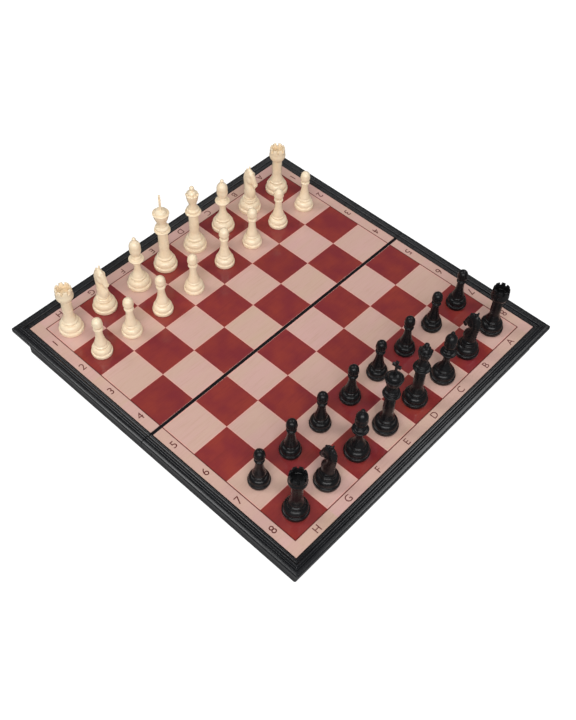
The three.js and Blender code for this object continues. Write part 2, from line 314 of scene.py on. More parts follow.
def moved(mesh, matrix):
    copy = mesh.copy()
    copy.transform(matrix)
    return copy


def modified(mesh, *settings):
    """The mesh after modifiers, each given as (type, {setting: value})."""
    thing = bpy.data.objects.new("modified", mesh)
    bpy.context.scene.collection.objects.link(thing)
    for kind, values in settings:
        modifier = thing.modifiers.new(kind, kind)
        for name, value in values.items():
            setattr(modifier, name, value)
    bpy.context.view_layer.update()
    evaluated = thing.evaluated_get(bpy.context.evaluated_depsgraph_get())
    result = bpy.data.meshes.new_from_object(evaluated)
    bpy.data.objects.remove(thing)
    return result


def plate(outline, thickness, edge):
    """An outline across X and up Z, given a thickness along Y and rounded edges, in millimetres."""
    body = bmesh.new()
    points = [body.verts.new((across * MM, -thickness * MM / 2, up * MM)) for across, up in outline.points]
    face = body.faces.new(points)
    extruded = bmesh.ops.extrude_face_region(body, geom=[face])["geom"]
    shift = Vector((0, thickness * MM, 0))
    bmesh.ops.translate(body, verts=[v for v in extruded if isinstance(v, bmesh.types.BMVert)], vec=shift)
    bmesh.ops.bevel(body, geom=body.edges[:], offset=edge * MM, segments=2, profile=0.5, affect="EDGES")
    bmesh.ops.recalc_face_normals(body, faces=body.faces)
    mesh = bpy.data.meshes.new("plate")
    body.to_mesh(mesh)
    body.free()
    return mesh


def piece(name, mesh, material, body, slot, *nodes):
    """A finished piece: its mesh in place, its material, the body it rides on and the nodes it stands for."""
    mesh.materials.clear()
    mesh.materials.append(material)
    mesh.name = name
    thing = bpy.data.objects.new(name, mesh)
    bpy.context.scene.collection.objects.link(thing)
    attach(thing, body)
    if nodes:
        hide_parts(*nodes)
    return thing


# ---------------------------------------------------------------- shared effects
def colour(red, green, blue):
    """A display colour, 0 to 255, as the linear colour that a shader takes."""
    def linear(value):
        value /= 255
        return value / 12.92 if value <= 0.04045 else ((value + 0.055) / 1.055) ** 2.4
    return (linear(red), linear(green), linear(blue), 1.0)


def moulded_surface():
    """Moulded plastic: cloudy colour, flow marks, a fine orange-peel height and a varied roughness."""
    inputs = [
        ("Colour", "NodeSocketColor", (0.5, 0.5, 0.5, 1)),
        ("Cloud Colour", "NodeSocketColor", (0.5, 0.5, 0.5, 1)),
        ("Cloud Size", "NodeSocketFloat", 0.01),
        ("Roughness", "NodeSocketFloat", 0.3),
        ("Roughness Spread", "NodeSocketFloat", 0.08),
    ]
    outputs = [("Colour", "NodeSocketColor"), ("Roughness", "NodeSocketFloat"), ("Height", "NodeSocketFloat")]
    graph, given, result = group("moulded_surface", "ShaderNodeTree", inputs, outputs)
    place = graph.add("ShaderNodeTexCoord").outputs["Object"]
    cloud_scale = graph.math("DIVIDE", 1.0, given["Cloud Size"])
    cloud = graph.noise(place, cloud_scale, 3.0)
    flow_place = graph.add("ShaderNodeMapping", {"Vector": place, "Scale": (1.0, 1.0, 0.25)}).outputs[0]
    flow = graph.noise(flow_place, graph.math("MULTIPLY", cloud_scale, 4.0), 2.0)
    share = graph.ramp(graph.math("ADD", cloud, graph.math("MULTIPLY", flow, 0.4)), 0.5, 0.95)
    graph.feed(result["Colour"], graph.mix(share, given["Colour"], given["Cloud Colour"]))
    smudges = graph.noise(place, graph.math("MULTIPLY", cloud_scale, 1.7), 4.0)
    smudge = graph.ramp(smudges, 0.3, 0.7, -1.0, 1.0)
    spread = graph.math("MULTIPLY", smudge, given["Roughness Spread"])
    graph.feed(result["Roughness"], graph.math("ADD", given["Roughness"], spread))
    peel = graph.noise(place, 1800.0, 1.0)
    wave = graph.noise(place, 130.0, 1.0)
    graph.feed(result["Height"], graph.math("ADD", graph.math("MULTIPLY", peel, 0.08), wave))
    return graph.tree


def handling_wear():
    """Fine rubbing scratches: a mask of short bright strokes."""
    inputs = [("Length", "NodeSocketFloat", 0.02), ("Amount", "NodeSocketFloat", 0.3)]
    graph, given, result = group("handling_wear", "ShaderNodeTree", inputs, [("Mask", "NodeSocketFloat")])
    place = graph.add("ShaderNodeTexCoord").outputs["Object"]
    strokes = []
    for turn in (0.35, 1.9):
        settings = {"Vector": place, "Rotation": (0.2, 0.1, turn), "Scale": (1.0, 26.0, 6.0)}
        stretched = graph.add("ShaderNodeMapping", settings).outputs[0]
        stroke = graph.noise(stretched, graph.math("DIVIDE", 1.0, given["Length"]), 3.0, 0.6)
        strokes.append(graph.ramp(stroke, 0.62, 0.72))
    patch = graph.ramp(graph.noise(place, 28.0, 2.0), 0.45, 0.65)
    both = graph.math("MULTIPLY", graph.math("MAXIMUM", *strokes), patch)
    graph.feed(result["Mask"], graph.math("MULTIPLY", both, given["Amount"]))
    return graph.tree


MOULDED = moulded_surface()
WEAR = handling_wear()


def material(name):
    """An empty material: its graph and its Principled shader."""
    made = bpy.data.materials.new(name)
    made.use_nodes = True
    graph = Graph(made.node_tree)
    return made, graph, made.node_tree.nodes["Principled BSDF"]


def place_group(graph, tree, **inputs):
    node = graph.add("ShaderNodeGroup", node_tree=tree)
    for name, value in inputs.items():
        graph.feed(node.inputs[name.replace("_", " ")], value)
    return node.outputs


def bump(graph, shader, height, distance):
    inputs = {"Height": height, "Distance": distance, "Strength": 1.0}
    graph.feed(shader.inputs["Normal"], graph.add("ShaderNodeBump", inputs).outputs[0])


def plastic(
    name, base, cloud, cloud_size, roughness, spread, worn, wear_amount, wear_length, bump_height, gloss,
):
    """Moulded plastic, with rubbed marks in a worn colour."""
    made, graph, shader = material(name)
    surface = place_group(
        graph, MOULDED, Colour=base, Cloud_Colour=cloud, Cloud_Size=cloud_size,
        Roughness=roughness, Roughness_Spread=spread,
    )
    wear = place_group(graph, WEAR, Length=wear_length, Amount=wear_amount)["Mask"]
    graph.feed(shader.inputs["Base Color"], graph.mix(wear, surface["Colour"], worn))
    rubbed = graph.math("ADD", surface["Roughness"], graph.math("MULTIPLY", wear, 0.2))
    graph.feed(shader.inputs["Roughness"], rubbed)
    bump(graph, shader, surface["Height"], bump_height)
    shader.inputs["IOR"].default_value = 1.5
    shader.inputs["Specular IOR Level"].default_value = gloss
    return made


def metal(name, base, tarnish, roughness, brushed):
    """Bare metal, brushed along X when `brushed` is over one."""
    made, graph, shader = material(name)
    place = graph.add("ShaderNodeTexCoord").outputs["Object"]
    stretched = graph.add("ShaderNodeMapping", {"Vector": place, "Scale": (1.0, brushed, brushed)}).outputs[0]
    lines = graph.noise(stretched, 220.0, 4.0, 0.6)
    clouds = graph.noise(place, 60.0, 3.0)
    graph.feed(shader.inputs["Base Color"], graph.mix(graph.ramp(clouds, 0.35, 0.75), base, tarnish))
    graph.feed(shader.inputs["Roughness"], graph.ramp(lines, 0.3, 0.7, roughness - 0.08, roughness + 0.1))
    bump(graph, shader, lines, 0.004 * MM)
    shader.inputs["Metallic"].default_value = 1.0
    return made


PALE_WARM = colour(204, 172, 152)
PALE_PINK = colour(210, 168, 162)
PALE_GRAIN = colour(186, 146, 126)
PALE_EDGE = colour(238, 170, 158)
RED_PURPLE = colour(130, 44, 49)
RED_ORANGE = colour(147, 56, 47)
RED_GRAIN = colour(104, 36, 38)
INK = colour(90, 28, 26)
# colour of the painted shade along the fold gap between the halves
FOLD_SHADE_COLOUR = colour(38, 16, 18)
FOLD_SHADE_INSET = 0.15 * MM    # how far inside the fold band the stripe of painted shade starts
HALO = (0.2 * MM, 0.9 * MM)   # from full to none, away from a red square


def printed_sheet():
    """The glossy print: wood-grained squares, a border line, a pale margin, and a dark stripe of painted
    shade at the fold.
    """
    made, graph, shader = material("glossy_printed_sheet")
    place = graph.add("ShaderNodeTexCoord").outputs["Object"]
    parts = graph.add("ShaderNodeSeparateXYZ", {0: place}).outputs
    x, y = parts[0], parts[1]
    from_fold = graph.math("SUBTRACT", graph.math("ABSOLUTE", y), FOLD_BAND / 2)
    across = graph.math("ADD", graph.math("DIVIDE", x, SQUARE), 4.0)
    along = graph.math("DIVIDE", from_fold, SQUARE)
    file_number = graph.math("FLOOR", across)
    row_number = graph.math("FLOOR", along)
    rear = graph.math("GREATER_THAN", y, 0.0)
    count = graph.math("ADD", graph.math("ADD", file_number, row_number), rear)
    odd = graph.math("FLOORED_MODULO", count, 2.0)
    outside = graph.math(
        "MAXIMUM", graph.math("SUBTRACT", graph.math("ABSOLUTE", x), GRID_HALF),
        graph.math("SUBTRACT", from_fold, GRID_HALF),
    )
    within = graph.math("LESS_THAN", outside, 0.0)
    past_fold = graph.math("GREATER_THAN", from_fold, 0.0)
    dark = graph.math("MULTIPLY", graph.math("MULTIPLY", odd, within), past_fold)
    line = graph.math("SUBTRACT", graph.math("LESS_THAN", outside, BORDER_LINE), within)

    # every square is its own cut of wood: its own shift of the grain and its own tone
    cell = graph.add("ShaderNodeCombineXYZ", {0: file_number, 1: row_number, 2: rear}).outputs[0]
    own = graph.add("ShaderNodeTexWhiteNoise", {"Vector": cell}, noise_dimensions="3D").outputs
    shifted = graph.vector("ADD", place, own["Color"])
    lengthwise = graph.add("ShaderNodeMapping", {"Vector": shifted, "Scale": (14.0, 75.0, 14.0)}).outputs[0]
    streaks = graph.noise(lengthwise, 1.0, 4.0, 0.55)
    fine_place = graph.add("ShaderNodeMapping", {"Vector": shifted, "Scale": (60.0, 900.0, 60.0)}).outputs[0]
    fine = graph.noise(fine_place, 1.0, 3.0, 0.6)
    clouds = graph.noise(shifted, 55.0, 3.0)
    streaked = graph.ramp(streaks, 0.3, 0.7, 0.0, 0.65)
    tone = graph.math("ADD", graph.math("MULTIPLY", own["Value"], 0.35), streaked)

    pale = graph.mix(tone, PALE_WARM, PALE_PINK)
    pale = graph.mix(graph.ramp(fine, 0.5, 0.8, 0.0, 0.35), pale, PALE_GRAIN)
    red = graph.mix(graph.ramp(clouds, 0.35, 0.65), RED_PURPLE, RED_ORANGE)
    red = graph.mix(graph.ramp(fine, 0.5, 0.8, 0.0, 0.3), red, RED_GRAIN)
    red = graph.mix(graph.math("MULTIPLY", own["Value"], 0.25), red, RED_GRAIN)

    # the pale wood is a little lighter and pinker right beside a red square
    near_file = graph.math("PINGPONG", across, 0.5)
    near_row = graph.math("PINGPONG", along, 0.5)
    near = graph.math("MULTIPLY", graph.math("MINIMUM", near_file, near_row), SQUARE)
    halo = graph.math("MULTIPLY", graph.ramp(near, *HALO, 1.0, 0.0), within)
    pale = graph.mix(graph.math("MULTIPLY", halo, 0.55), pale, PALE_EDGE)
    print_and_fold_shade = graph.mix(line, graph.mix(dark, pale, red), INK)
    # painted shade: a dark stripe along the sheet's edge at the fold, standing in for the shaded gap between
    # the halves
    fold_shade_mask = graph.math("LESS_THAN", from_fold, -FOLD_SHADE_INSET)
    print_and_fold_shade = graph.mix(fold_shade_mask, print_and_fold_shade, FOLD_SHADE_COLOUR)
    graph.feed(shader.inputs["Base Color"], print_and_fold_shade)

    smudges = graph.noise(place, 22.0, 4.0, 0.6)
    wear = place_group(graph, WEAR, Length=0.012, Amount=0.12)["Mask"]
    gloss = graph.math("ADD", graph.ramp(smudges, 0.3, 0.7, 0.07, 0.15), wear)
    graph.feed(shader.inputs["Roughness"], gloss)
    ripple = graph.noise(place, 34.0, 1.0)
    bump(graph, shader, ripple, 0.09 * MM)
    shader.inputs["IOR"].default_value = 1.5
    return made


def printing_ink():
    made, graph, shader = material("printing_ink")
    place = graph.add("ShaderNodeTexCoord").outputs["Object"]
    patches = graph.ramp(graph.noise(place, 900.0, 2.0), 0.35, 0.75)
    graph.feed(shader.inputs["Base Color"], graph.mix(patches, INK, colour(96, 34, 32)))
    graph.feed(shader.inputs["Roughness"], graph.ramp(patches, 0.0, 1.0, 0.18, 0.3))
    return made


def soft_rubber():
    made, graph, shader = material("soft_rubber")
    place = graph.add("ShaderNodeTexCoord").outputs["Object"]
    dust = graph.ramp(graph.noise(place, 700.0, 4.0, 0.7), 0.45, 0.8)
    clean, dusty = (0.012, 0.012, 0.012, 1), (0.05, 0.048, 0.045, 1)
    graph.feed(shader.inputs["Base Color"], graph.mix(dust, clean, dusty))
    graph.feed(shader.inputs["Roughness"], graph.ramp(dust, 0.0, 1.0, 0.72, 0.95))
    bump(graph, shader, graph.noise(place, 2600.0, 2.0), 0.02 * MM)
    return made


BLACK_PLASTIC = plastic(
    "satin_black_plastic",
    base=(0.0060, 0.0064, 0.0078, 1), cloud=(0.0085, 0.009, 0.0108, 1), cloud_size=0.03,
    roughness=0.22, spread=0.05, gloss=0.46, bump_height=0.012 * MM,
    worn=(0.03, 0.03, 0.034, 1), wear_amount=0.08, wear_length=0.016,
)
IVORY = plastic(
    "ivory_plastic_gloss",
    base=colour(247, 229, 199), cloud=colour(241, 218, 184), cloud_size=0.008,
    roughness=0.26, spread=0.06, gloss=0.5, bump_height=0.004 * MM,
    worn=colour(222, 196, 160), wear_amount=0.18, wear_length=0.006,
)
EBONY = plastic(
    "ebony_plastic_gloss",
    base=(0.0055, 0.0054, 0.0062, 1), cloud=(0.0085, 0.0084, 0.0092, 1), cloud_size=0.008,
    roughness=0.27, spread=0.05, gloss=0.22, bump_height=0.004 * MM,
    worn=(0.03, 0.03, 0.032, 1), wear_amount=0.12, wear_length=0.006,
)
STEEL = metal("rolled_steel", (0.42, 0.43, 0.45, 1), (0.32, 0.31, 0.30, 1), 0.36, 18.0)
WIRE = metal("drawn_steel_wire", (0.50, 0.50, 0.52, 1), (0.38, 0.37, 0.36, 1), 0.3, 6.0)
NICKEL = metal("nickel_plate", (0.62, 0.61, 0.60, 1), (0.48, 0.46, 0.43, 1), 0.22, 1.0)
RUBBER = soft_rubber()
PRINT = printed_sheet()
PRINT_INK = printing_ink()


# ---------------------------------------------------------------- the turned pieces
OFFICER_R = 9.0
PAWN_R = 7.6
MAGNET_SHARE = 0.52           # the base magnet's radius over the foot's


def foot(radius, height):
    """The foot that every piece stands on: a pocket for the magnet, a plinth, a groove and a bowl."""
    outline = Outline(0, 1.3).line((MAGNET_SHARE + 0.03) * radius, 1.3)
    outline.line((MAGNET_SHARE + 0.03) * radius, 0).line(0.955 * radius, 0)
    outline.arc(radius, 0.05 * height, 0.2, 4)
    outline.line(radius, 0.20 * height)
    outline.arc(0.90 * radius, 0.38 * height, 0.25)
    outline.arc(0.905 * radius, 0.47 * height, -0.45, 5)
    return outline.arc(0.68 * radius, height, 0.17, 10)


def pawn_mesh():
    outline = foot(PAWN_R, 7.6)
    outline.arc(4.85, 8.0, -0.3, 4).arc(4.8, 9.6, 0.28).arc(4.6, 10.4, -0.2, 3)
    outline.arc(2.65, 23.4, -0.05, 8).arc(2.85, 24.2, -0.2, 3)
    outline.arc(2.85, 25.9, 0.4).arc(2.5, 26.9, -0.2, 3)
    return turned(outline.arc(3.6, 31.1, 0.17, 6).arc(0, 35.5, 0.21, 9))


def queen_mesh():
    outline = foot(OFFICER_R, 8.6)
    outline.arc(5.6, 9.0, -0.3, 4).arc(5.4, 10.9, 0.27).arc(5.0, 11.8, -0.2, 3)
    outline.arc(3.95, 19, -0.09, 6).line(3.6, 31.5).arc(5.1, 35, -0.2, 6)
    outline.arc(5.1, 36.8, 0.6, 8).arc(4.3, 37.4, -0.15, 3).arc(4.2, 39.4, 0.42).arc(3.5, 41, -0.2, 4)
    outline.arc(3.1, 45, -0.08, 5).arc(4.5, 52, 0.05, 8)
    outline.arc(4.1, 53.4, 0.4, 5).arc(3.5, 53.4, -0.2, 3).arc(1.1, 56.6, 0.22, 6)
    outline.arc(1.15, 57.1, -0.3, 3).ball(1.9)
    points, low, high = 8, 47.0, 54.5

    def coronet(radius, height, angle):
        share = min(1.0, max(0.0, (height - low) / (high - low)))
        if height > high or radius < 3:
            return radius, height
        wave = abs(math.cos(points * angle / 2)) - 0.6
        return radius + 0.6 * share * wave, height + 1.0 * share ** 4 * wave

    angles = [TURN * step / (2 * SIDES) for step in range(2 * SIDES)]
    return turned(outline, angles, coronet)


def king_mesh():
    outline = foot(OFFICER_R, 8.8)
    outline.arc(5.7, 9.3, -0.3, 4).arc(5.5, 11.4, 0.27).arc(5.1, 12.3, -0.2, 3)
    outline.arc(4.0, 20.5, -0.08, 6).line(3.75, 33.5).arc(5.0, 36.3, -0.2, 5)
    outline.arc(4.9, 38.2, 0.62, 8).arc(4.5, 38.9, -0.15, 3).arc(4.3, 41, 0.42).arc(3.7, 42.4, -0.2, 4)
    outline.arc(3.4, 45, -0.06, 4).arc(5.9, 52.9, 0.05, 8)
    outline.arc(5.6, 54, 0.5, 5).arc(4.8, 53.8, -0.2, 3).arc(1.4, 57.2, 0.2, 8)
    body = turned(outline.line(0, 57.3))
    arm, bar, flare = 3.2, 0.75, 1.2
    foot_z, arm_z, top_z = 56.4, 66.0, 70.0
    right = [
        (flare, foot_z), (bar, foot_z + 3), (bar, arm_z - bar), (arm, arm_z - flare),
        (arm, arm_z + flare), (bar, arm_z + bar), (flare, top_z),
    ]
    cross = Outline(*right[0])
    for across, up in [*right[1:], *[(-across, up) for across, up in reversed(right)]]:
        cross.line(across, up)
    return joined(body, plate(cross, 1.7, 0.22))


def bishop_mesh():
    outline = foot(OFFICER_R, 8.2)
    outline.arc(5.6, 8.6, -0.3, 4).arc(5.4, 10.4, 0.27).arc(5.0, 11.2, -0.2, 3)
    outline.arc(2.7, 22, -0.1, 8).arc(4.8, 26.1, -0.2, 6)
    outline.arc(4.7, 27.8, 0.6, 8).arc(3.1, 28.7, -0.15, 4).arc(2.9, 30.2, 0.4).arc(2.6, 31, -0.2, 3)
    outline.arc(4.1, 38, 0.12, 8).arc(0.9, 45, 0.17, 10).arc(0.85, 45.4, -0.3, 3)
    return turned(outline.ball(1.45))


def rook_mesh():
    outline = foot(OFFICER_R, 8.6)
    outline.arc(5.6, 9.0, -0.3, 4).arc(5.4, 10.9, 0.27).arc(5.0, 11.8, -0.2, 3)
    outline.arc(3.95, 20, -0.08, 6).line(3.75, 30.3).arc(4.3, 31.3, -0.2, 3)
    outline.arc(6.0, 38.2, 0.16, 8).arc(5.75, 42.7, 0.05, 5).arc(5.45, 43, 0.2, 3)
    outline.line(4.8, 43).arc(4.6, 42.8, 0.2, 3).line(4.5, 37.4).line(4.2, 37.1).line(0, 37.1)
    slots, slot_half, slot_floor, slope = 8, 0.14, 40.3, 0.006
    angles = []
    for slot in range(slots):
        middle = TURN * slot / slots
        side = TURN / slots - slot_half
        angles += [middle - slot_half - slope, middle - slot_half + slope]
        angles += [middle + slot_half * share for share in (-0.5, 0, 0.5)]
        angles += [middle + slot_half - slope, middle + slot_half + slope]
        angles += [middle + slot_half + (side - slot_half) * share / 7 for share in range(1, 7)]

    def battlements(radius, height, angle):
        period = TURN / slots
        from_slot = abs((angle + period / 2) % period - period / 2)
        inside = from_slot < slot_half and radius > 4.2
        return radius, min(height, slot_floor) if inside else height

    return turned(outline, angles, battlements)


# ---------------------------------------------------------------- the knight
# The horse looks towards +Y. Its neck and head are a loft over stations: the underside (chest, throat,
# jaw, chin) and the topside (mane, poll, forehead, nose), each as y and z, and the half width there.
HORSE = [
    ((4.3, 12.0), (-4.5, 12.0), 3.7),
    ((5.2, 16.2), (-4.7, 16.6), 3.7),
    ((4.9, 19.8), (-4.9, 21.2), 3.4),
    ((3.3, 22.6), (-5.3, 25.8), 3.2),
    ((1.9, 24.7), (-5.6, 30.2), 3.05),
    ((1.9, 26.6), (-5.0, 34.4), 3.05),
    ((2.5, 27.3), (-3.0, 38.0), 3.0),
    ((3.2, 26.7), (0.0, 39.9), 2.75),
    ((3.8, 26.0), (2.9, 38.2), 2.45),
    ((4.4, 25.2), (5.0, 34.6), 2.1),
    ((4.9, 24.7), (6.5, 30.6), 1.85),
    ((5.3, 24.4), (7.2, 27.9), 1.8),
    ((5.7, 24.5), (7.2, 26.4), 1.35),
]


def smooth_between(stations, share):
    """A value on the smooth curve through evenly spaced stations (Catmull-Rom)."""
    span = min(int(share), len(stations) - 2)
    t = share - span
    before, start, end, after = [
        stations[min(max(span + step, 0), len(stations) - 1)] for step in (-1, 0, 1, 2)
    ]
    return 0.5 * (
        2 * start + (end - before) * t + (2 * before - 5 * start + 4 * end - after) * t * t
        + (3 * start - before - 3 * end + after) * t ** 3
    )


def horse_loft():
    stations = [Vector((*under, *over, half)) for under, over, half in HORSE]
    steps, around = 60, 28
    body = bmesh.new()
    rings = []
    for step in range(steps + 1):
        under_y, under_z, over_y, over_z, half = smooth_between(stations, step * (len(stations) - 1) / steps)
        under, over = Vector((0, under_y, under_z)), Vector((0, over_y, over_z))
        middle, reach = (under + over) / 2, (over - under) / 2
        ring = []
        for corner in range(around):
            angle = TURN * corner / around
            side = math.copysign(abs(math.sin(angle)) ** 0.85, math.sin(angle))
            ring.append(body.verts.new((middle + reach * math.cos(angle) + Vector((half * side, 0, 0))) * MM))
        rings.append(ring)
    for lower, upper in zip(rings, rings[1:]):
        for corner in range(around):
            after = (corner + 1) % around
            body.faces.new((lower[corner], lower[after], upper[after], upper[corner]))
    body.faces.new(rings[0])
    body.faces.new(rings[-1])
    bmesh.ops.recalc_face_normals(body, faces=body.faces)
    mesh = bpy.data.meshes.new("horse")
    body.to_mesh(mesh)
    body.free()
    return mesh


def lump(centre, radii, tilt=0.0, lean=0.0):
    """A squashed ball, in millimetres, tilted about X and leaned about Y in degrees."""
    body = bmesh.new()
    bmesh.ops.create_icosphere(body, subdivisions=3, radius=1.0)
    size = Matrix.Diagonal((*radii, 1.0))
    turn = Matrix.Rotation(math.radians(tilt), 4, "X") @ Matrix.Rotation(math.radians(lean), 4, "Y")
    body.transform(Matrix.Scale(MM, 4) @ Matrix.Translation(centre) @ turn @ size)
    mesh = bpy.data.meshes.new("lump")
    body.to_mesh(mesh)
    body.free()
    return mesh


def mane():
    """A crest down the back of the neck, notched into locks."""
    stations = [Vector((*over, *under)) for under, over, _ in HORSE[1:9]]
    locks = 13
    lumps = []
    for lock in range(locks):
        share = lock * (len(stations) - 1) / (locks - 1)
        over_y, over_z, under_y, under_z = smooth_between(stations, share)
        over, under = Vector((over_y, over_z)), Vector((under_y, under_z))
        inward = (under - over).normalized()
        centre = over + inward * 0.95
        tilt = math.degrees(math.atan2(inward.y, inward.x))
        lumps.append(lump((0, centre.x, centre.y), (0.95, 1.45, 1.2), tilt - 22))
    return lumps


def knight_mesh():
    outline = foot(OFFICER_R, 8.6)
    outline.arc(5.6, 9.0, -0.3, 4).arc(5.5, 11.0, 0.27).arc(5.2, 12.2, 0.2, 4).line(0, 12.6)
    plinth = turned(outline)
    parts = [horse_loft(), *mane()]
    for side in (-1, 1):
        parts += [
            lump((1.35 * side, -1.1, 40.0), (0.65, 0.8, 1.3), 14, 12 * side),      # ear
            lump((1.75 * side, 1.2, 30.6), (1.7, 3.0, 3.5), 12),                   # cheek
            lump((2.15 * side, 2.9, 34.9), (0.6, 0.9, 0.65), 40),                  # eye
            lump((2.0 * side, 2.7, 36.2), (0.75, 1.5, 0.5), -50),                  # brow
            lump((1.25 * side, 6.6, 27.6), (0.75, 0.85, 0.8)),                     # nostril
        ]
    parts += [
        lump((0, 5.5, 24.9), (1.5, 1.2, 0.9), 20),                                 # lower lip
        lump((0, 6.6, 26.7), (1.75, 1.0, 1.2)),                                    # upper lip
        lump((0, 0, 12.9), (4.7, 4.9, 1.6)),                                       # the neck on the plinth
    ]
    horse = modified(
        joined(*parts),
        ("REMESH", {"mode": "VOXEL", "voxel_size": 0.3 * MM}),
        ("SMOOTH", {"factor": 0.5, "iterations": 5}),
    )
    return joined(plinth, finished(horse, 60))


# ---------------------------------------------------------------- setting the pieces out
KINDS = {
    "pawn": (pawn_mesh, PAWN_R), "rook": (rook_mesh, OFFICER_R), "knight": (knight_mesh, OFFICER_R),
    "bishop": (bishop_mesh, OFFICER_R), "queen": (queen_mesh, OFFICER_R), "king": (king_mesh, OFFICER_R),
}
# each colour's finish, material slot, the way it faces, and the way its king's cross is turned, in degrees
COLOURS = {"white": (IVORY, "ivory_plastic", 0, 52), "black": (EBONY, "ebony_plastic", 180, 90)}


def set_out_pieces():
    """Every piece on its square, turned as it stands, with the magnet in its foot."""
    made = {}
    for kind, (maker, radius) in KINDS.items():
        figure = maker()
        magnet_r = MAGNET_SHARE * radius
        disc = Outline(0, 0.15).line(magnet_r - 0.2, 0.15).arc(magnet_r, 0.35, 0.2, 3)
        made[kind] = figure, turned(disc.line(magnet_r, 1.25).line(0, 1.25))
    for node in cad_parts:
        tint, _, rest = node.partition("_")
        if tint not in COLOURS:
            continue
        kind = rest.split("_")[0]
        finish, slot, facing, cross_turn = COLOURS[tint]
        low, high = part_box(node)
        turn = Matrix.Rotation(math.radians(cross_turn if kind == "king" else facing), 4, "Z")
        place = Matrix.Translation(((low.x + high.x) / 2, (low.y + high.y) / 2, low.z)) @ turn
        figure, disc = made[kind]
        piece(f"{node}_figure", moved(figure, place), finish, node, slot, node)
        piece(f"{node}_base_magnet", moved(disc, place), NICKEL, node, "magnet")


# ---------------------------------------------------------------- the board
def half_turn(half):
    """The rear half is the front one turned round the middle of the board."""
    return Matrix.Rotation(0 if half == "front" else math.pi, 4, "Z")


def ridged_frame(half):
    """The frame round one half: an inner bead, a groove, the main ridge, a groove and a sloping band."""
    section = Outline(0, -0.85).line(2.75, -0.85).line(2.75, -2.7).line(8.8, -2.7)
    section.arc(9.1, -2.4, 0.2, 3).line(9.1, -0.3).arc(8.5, 0.55, 0.2, 5).line(6.6, 1.0)
    section.arc(6.1, 0.55, 0.2, 4).arc(5.0, 0.55, -0.2, 5).arc(2.9, 0.6, 0.5, 12)
    section.arc(1.95, 0.1, -0.3, 5).line(1.7, 0.15).arc(0.45, 0.25, 0.5, 8).line(0, 0.1).close()
    corner_share, fan = 0.1, 4
    places, outward = [], []

    def station(x, y, way):
        places.append((x, y, SURFACE))
        outward.append(way)

    station(FRAME_IN_X, -FRAME_FOLD, (1, 0))
    for side in (1, -1):
        for step in range(fan + 1):
            angle = TURN / 4 * (step / fan if side > 0 else 1 - step / fan)
            way = [1 - corner_share + corner_share * value for value in (math.cos(angle), math.sin(angle))]
            station(side * FRAME_IN_X, -FRAME_IN_Y, (side * way[0], -way[1]))
    station(-FRAME_IN_X, -FRAME_FOLD, (-1, 0))
    mesh = finished(swept(section, places, outward), 50)
    mesh.transform(half_turn(half))
    return mesh


def softened_tray(half):
    """The tray with its moulded edges rounded and its walls flat."""
    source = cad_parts[f"{half}_tray"].data.copy()
    body = bmesh.new()
    body.from_mesh(source)
    bmesh.ops.remove_doubles(body, verts=body.verts, dist=MERGE)
    bmesh.ops.dissolve_limit(body, angle_limit=math.radians(2), verts=body.verts, edges=body.edges)
    body.to_mesh(source)
    body.free()
    edges = {"width": 0.22 * MM, "segments": 2, "angle_limit": math.radians(50), "use_clamp_overlap": True}
    rounded = modified(source, ("BEVEL", edges))
    rounded.shade_smooth()
    rounded.set_sharp_from_angle(angle=math.radians(45))
    for face in rounded.polygons:
        square_on = max(abs(value) for value in face.normal)
        face.use_smooth = square_on < FLAT_WALL
    return rounded


def set_down(part_mesh, nodes, turn_step=0.0):
    """A small part set down where each of the CAD nodes stands, bottom to bottom, as one mesh."""
    places = []
    for node in nodes:
        low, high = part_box(node)
        places.append(((low.x + high.x) / 2, (low.y + high.y) / 2, low.z))
    part = bpy.data.objects.new("part", part_mesh)
    bpy.context.scene.collection.objects.link(part)
    mesh = grown(line_object("places", places), SET_OUT, Part=part, Turn_Step=turn_step)
    bpy.data.objects.remove(part)
    mesh.shade_smooth()
    mesh.set_sharp_from_angle(angle=math.radians(38))
    return mesh


LETTER_SIZE = 7.3             # millimetres
NUMBER_SIZE = 8.4


def printed_mark(text, x, y, turn, size):
    """A letter or number of the print, a film of ink centred on a point. Size in millimetres."""
    curve = bpy.data.curves.new("mark", "FONT")
    curve.body = text
    curve.size = size * MM
    curve.align_x = "CENTER"
    curve.align_y = "CENTER"
    curve.offset = -0.01 * MM
    curve.extrude = 0.012 * MM
    curve.resolution_u = 4
    thing = bpy.data.objects.new("mark", curve)
    bpy.context.scene.collection.objects.link(thing)
    bpy.context.view_layer.update()
    mesh = bpy.data.meshes.new_from_object(thing.evaluated_get(bpy.context.evaluated_depsgraph_get()))
    bpy.data.objects.remove(thing)
    xs = [vertex.co.x for vertex in mesh.vertices]
    ys = [vertex.co.y for vertex in mesh.vertices]
    centre = Vector((min(xs) + max(xs), min(ys) + max(ys), 0)) / 2
    turned_mark = Matrix.Rotation(math.radians(turn), 4, "Z") @ Matrix.Translation(-centre)
    mesh.transform(Matrix.Translation((x, y, SURFACE + 0.008 * MM)) @ turned_mark)
    return mesh


def coordinates(half):
    """Letters along the player's edge and numbers up both sides of one half."""
    side = -1 if half == "front" else 1
    marks = []
    edge = GRID_HALF + MARGIN / 2
    turn = 0 if half == "front" else 180
    for number, letter in enumerate(FILES):
        x, y = (number - 3.5) * SQUARE, side * (edge + FOLD_BAND / 2)
        marks.append(printed_mark(letter.upper(), x, y, turn, LETTER_SIZE))
    for step in range(4):
        rank = 4 - step if half == "front" else 5 + step
        y = side * (FOLD_BAND / 2 + (step + 0.5) * SQUARE)
        marks.append(printed_mark(str(rank), -edge, y, 0, NUMBER_SIZE))
        marks.append(printed_mark(str(rank), edge, y, 180, NUMBER_SIZE))
    mesh = joined(*marks)
    mesh.shade_flat()
    return mesh


